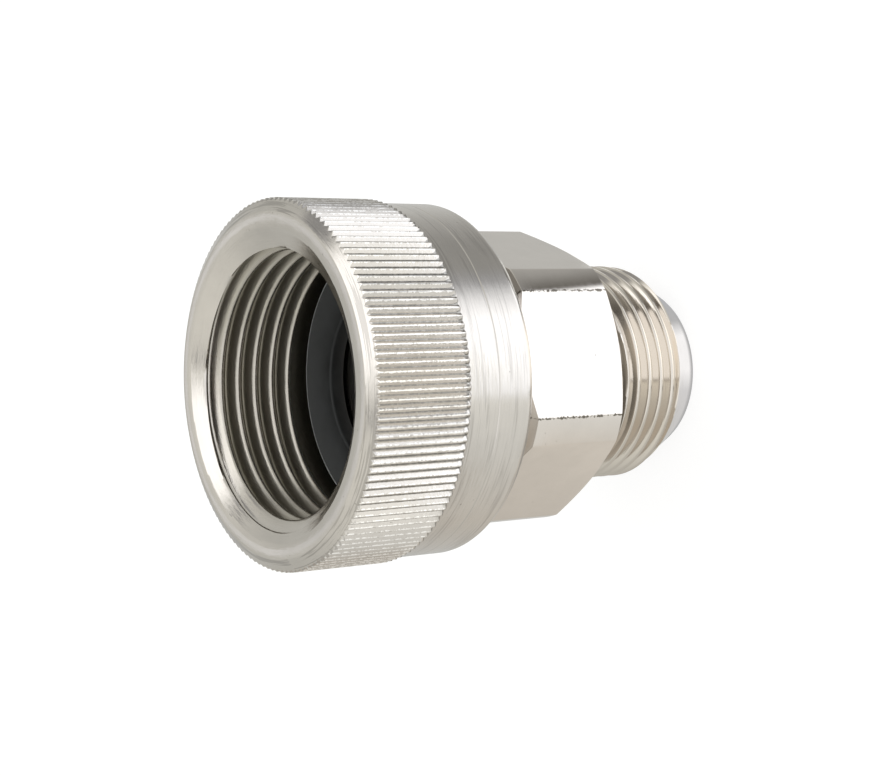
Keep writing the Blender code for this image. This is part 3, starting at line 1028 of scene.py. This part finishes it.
class MESH_OT_coupling_washer(bpy.types.Operator):
    """Build the flat rubber washer"""

    bl_idname = "mesh.coupling_washer"
    bl_label = "Sealing Washer"
    bl_options = {"REGISTER", "UNDO"}

    def execute(self, context):
        finish = context.scene.coupling_finish
        sizes = context.scene.coupling_small
        outer, low, high = WASHER_HIGH[0], WASHER_LOW[2], WASHER_HIGH[2]
        washer = make_washer(outer, sizes.washer_hole / 2, low, high)

        def rim(radius, azimuth, height):
            """Painted highlight: a narrow bell on the upper face, close to the rim."""
            near = np.exp(-((radius - outer + RIM_INSET) / RIM_WIDTH) ** 2)
            return near * (height > (low + high) / 2)

        vertex_rule(washer, "rim", rim)
        washer.data.materials.append(rubber("rubber_washer_surface", finish.rubber))
        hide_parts("sealing_washer")
        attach(washer, "tail")
        return {"FINISHED"}


class MESH_OT_coupling_ring(bpy.types.Operator):
    """Build the open wire ring that keeps the nut on"""

    bl_idname = "mesh.coupling_ring"
    bl_label = "Retaining Ring"
    bl_options = {"REGISTER", "UNDO"}

    def execute(self, context):
        finish = context.scene.coupling_finish
        sizes = context.scene.coupling_small
        wire = RING_HIGH[2] - RING_LOW[2]
        height = (RING_LOW[2] + RING_HIGH[2]) / 2
        ring = make_ring(RING_HIGH[0] - wire / 2, wire, height, sizes.ring_opening)
        surface = plated("spring_wire_surface", finish.wire, finish.roughness * 1.6)
        ring.data.materials.append(surface)
        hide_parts("retaining_ring")
        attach(ring, "tail")
        return {"FINISHED"}


class SCENE_OT_coupling_stage(bpy.types.Operator):
    """Set up the floor with its cards, the surround and the camera"""

    bl_idname = "scene.coupling_stage"
    bl_label = "Studio"
    bl_options = {"REGISTER", "UNDO"}

    def execute(self, context):
        scene = context.scene
        studio = scene.coupling_studio
        build_floor()
        build_world(scene, studio)
        build_camera(scene, studio)
        scene.view_settings.view_transform = "Standard"
        return {"FINISHED"}


def grey(value):
    """A neutral colour."""
    return (value, value, value)


def card_ring(tree, share, stops):
    """Colour of one ring of cards, by a Color Ramp fed with a share of a full turn."""
    ramp = tree.add("ShaderNodeValToRGB", [("Fac", share)])
    elements = ramp.color_ramp.elements
    elements.remove(elements[-1])
    elements[0].position = stops[0][0] / 360
    elements[0].color = (*shaded(stops[0][2], stops[0][1]), 1.0)
    for angle, value, paper in stops[1:]:
        elements.new(angle / 360).color = (*shaded(paper, value), 1.0)
    return ramp.outputs["Color"]


def floor_cards(tree):
    """What polished metal sees in the floor: rings of pale and dark card.

    The colour is a function of the direction from the part and, from ring to ring,
    of the distance: the coned nose mirrors the inner ring, then come the outside
    thread, the hexagon, the plain band and the knurl.
    """
    radius, azimuth, _ = tree.polar()
    turned = tree.math("MULTIPLY_ADD", azimuth, -1 / TAU, CARD_START / 360 + 1.0)
    share = tree.math("FRACT", turned)
    colour = card_ring(tree, share, RING_CARDS[0][1])
    for (inner, outer), stops in RING_CARDS[1:]:
        beyond = tree.step(radius, inner * MM, outer * MM)
        colour = tree.mix(beyond, colour, card_ring(tree, share, stops))
    return colour


def build_floor():
    """A wide white floor that keeps a faint shadow; metal mirrors the cards laid on it."""
    mesh = bpy.data.meshes.new("floor")
    signs = ((-1, -1), (1, -1), (1, 1), (-1, 1))
    corners = [(x * FLOOR_REACH, y * FLOOR_REACH, FLOOR_LEVEL) for x, y in signs]
    mesh.from_pydata(corners, [], [(0, 1, 2, 3)])
    floor = bpy.data.objects.new("floor", mesh)
    bpy.context.scene.collection.objects.link(floor)
    material, tree, _ = new_material("floor_paper")
    tree.nodes.clear()
    path = tree.add("ShaderNodeLightPath").outputs
    camera, glossy = path["Is Camera Ray"], path["Is Glossy Ray"]
    seen = tree.math("MAXIMUM", glossy, path["Is Transmission Ray"])
    bare = tree.mix(seen, grey(FLOOR_PAPER), grey(0.0))
    lit = tree.mix(camera, grey(1.0), grey(FLOOR_GLOW))
    shown = tree.mix(glossy, lit, floor_cards(tree))
    strength = tree.math("MAXIMUM", seen, camera)
    paper = tree.add("ShaderNodeBsdfDiffuse", [("Color", bare)])
    glow = tree.add("ShaderNodeEmission", [("Color", shown), ("Strength", strength)])
    both = tree.add("ShaderNodeAddShader", [(0, paper.outputs[0]), (1, glow.outputs[0])])
    tree.add("ShaderNodeOutputMaterial", [(0, both.outputs[0])])
    mesh.materials.append(material)


def card_mask(tree, direction, azimuth, elevation, inner, outer):
    """1 within inner degrees of a direction, 0 beyond outer degrees."""
    height = math.radians(elevation)
    heading = math.radians(CARD_START - azimuth)
    flat = math.cos(height)
    aim = (flat * math.cos(heading), flat * math.sin(heading), math.sin(height))
    both = [(0, direction), (1, aim)]
    dot = tree.add("ShaderNodeVectorMath", both, operation="DOT_PRODUCT")
    low, high = math.cos(math.radians(outer)), math.cos(math.radians(inner))
    return tree.step(dot.outputs["Value"], low, high)


def build_world(scene, studio):
    """An even pale surround with soft bright and dark cards over the part."""
    world = bpy.data.worlds.new("studio_world")
    world.use_nodes = True
    tree = Tree(world.node_tree)
    direction = tree.add("ShaderNodeTexCoord").outputs["Generated"]
    split = tree.add("ShaderNodeSeparateXYZ", [(0, direction)])
    colour = tree.mix(tree.step(split.outputs["Z"], *SKY_RISE), HORIZON, ZENITH)
    for *card, value in SKY_CARDS:
        colour = tree.mix(card_mask(tree, direction, *card), colour, grey(value))
    background = tree.nodes["Background"].inputs
    tree.feed(background["Color"], colour)
    tree.feed(background["Strength"], studio.world)
    scene.world = world


def build_camera(scene, studio):
    """Camera at the photograph's place: heading, dip and roll, in that order."""
    data = bpy.data.cameras.new("camera")
    data.sensor_width = 36.0
    data.lens = studio.lens
    data.clip_start = 0.01
    camera = bpy.data.objects.new("camera", data)
    azimuth = studio.camera_azimuth
    camera.location = (
        studio.camera_reach * math.cos(azimuth),
        studio.camera_reach * math.sin(azimuth),
        studio.camera_height,
    )
    level = Euler((math.pi / 2 - studio.camera_dip, 0.0, studio.camera_heading - math.pi / 2))
    rolled = level.to_matrix() @ Euler((0.0, 0.0, -studio.camera_roll)).to_matrix()
    camera.rotation_euler = rolled.to_euler()
    scene.collection.objects.link(camera)
    scene.camera = camera


class VIEW3D_PT_coupling(bpy.types.Panel):
    """Sizes, finishes and parts of the coupling"""

    bl_label = "Swivel Coupling"
    bl_idname = "VIEW3D_PT_coupling"
    bl_space_type = "VIEW_3D"
    bl_region_type = "UI"
    bl_category = "Coupling"

    def draw(self, context):
        layout = self.layout
        for operator in OPERATORS:
            layout.operator(operator.bl_idname)
        for holder in HOLDERS:
            group = getattr(context.scene, holder)
            box = layout.box()
            for name in group.bl_rna.properties.keys():
                if name not in {"rna_type", "name"}:
                    box.prop(group, name)


OPERATORS = (
    MESH_OT_coupling_nut,
    MESH_OT_coupling_tail,
    MESH_OT_coupling_washer,
    MESH_OT_coupling_ring,
    SCENE_OT_coupling_stage,
)
HOLDERS = {
    "coupling_nut": CouplingNutSizes,
    "coupling_tail": CouplingTailSizes,
    "coupling_small": CouplingSmallSizes,
    "coupling_finish": CouplingFinish,
    "coupling_studio": CouplingStudio,
}


def register():
    """Add the operators, the panel and the holders of the sizes."""
    for cls in (*HOLDERS.values(), *OPERATORS, VIEW3D_PT_coupling):
        bpy.utils.register_class(cls)
    for name, group in HOLDERS.items():
        setattr(bpy.types.Scene, name, bpy.props.PointerProperty(type=group))


def unregister():
    """Take them away again."""
    for name in HOLDERS:
        delattr(bpy.types.Scene, name)
    for cls in reversed((*HOLDERS.values(), *OPERATORS, VIEW3D_PT_coupling)):
        bpy.utils.unregister_class(cls)


def main():
    """Make the shared groups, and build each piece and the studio."""
    register()
    turned_group()
    tone_group()
    pits_group()
    ragged_group()
    bpy.ops.mesh.coupling_nut()
    bpy.ops.mesh.coupling_tail()
    bpy.ops.mesh.coupling_washer()
    bpy.ops.mesh.coupling_ring()
    bpy.ops.scene.coupling_stage()


if __name__ == "__main__":
    main()
